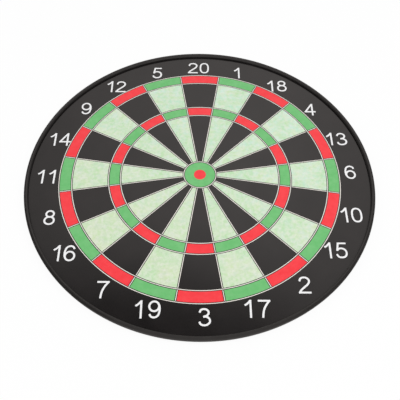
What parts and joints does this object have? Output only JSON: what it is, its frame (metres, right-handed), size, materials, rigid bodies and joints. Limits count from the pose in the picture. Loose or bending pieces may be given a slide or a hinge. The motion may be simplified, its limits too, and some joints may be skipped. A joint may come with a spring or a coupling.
{
  "type": "magnetic dartboard",
  "caption": "Thin round magnetic dartboard: printed face over a steel sheet and core, gripped by a rounded rim, with a swinging wire ring on the back to hang it by and soft wall pads.",
  "frame": {"origin": "middle of the plane that the four wall pads rest on, behind the centre of the target", "axes": "+Z out of the printed face, +Y towards the 20, which is the top when the board hangs, +X to the right of someone facing the board"},
  "size_m": [0.4, 0.4, 0.0118],
  "materials": {
    "rim_plastic": "satin black moulded plastic",
    "printed_vinyl": "semi-matt printed vinyl, black ground",
    "sheet_steel": "plain tin plate",
    "hardboard": "raw hardboard",
    "backing_sheet": "matt black, fine grain",
    "zinc_plate": "bright zinc plate",
    "soft_pad": "matt black"
  },
  "bodies": {
    "board": {"rim": "rim_plastic", "face_sheet": "printed_vinyl", "steel_sheet": "sheet_steel", "core_board": "hardboard", "back_sheet": "backing_sheet", "hanger_strap": "zinc_plate", "hanger_rivet_upper": "zinc_plate", "hanger_rivet_lower": "zinc_plate", "wall_pad_1": "soft_pad", "wall_pad_2": "soft_pad", "wall_pad_3": "soft_pad", "wall_pad_4": "soft_pad"},
    "ring": {"hanger_ring": "zinc_plate"}
  },
  "joints": [
    {"name": "ring_hinge", "type": "hinge", "parent": "board", "child": "ring", "pos_m": [0, 0.15, 0.002], "axis": [-1, 0, 0], "range_deg": [-2, 175]}
  ]
}
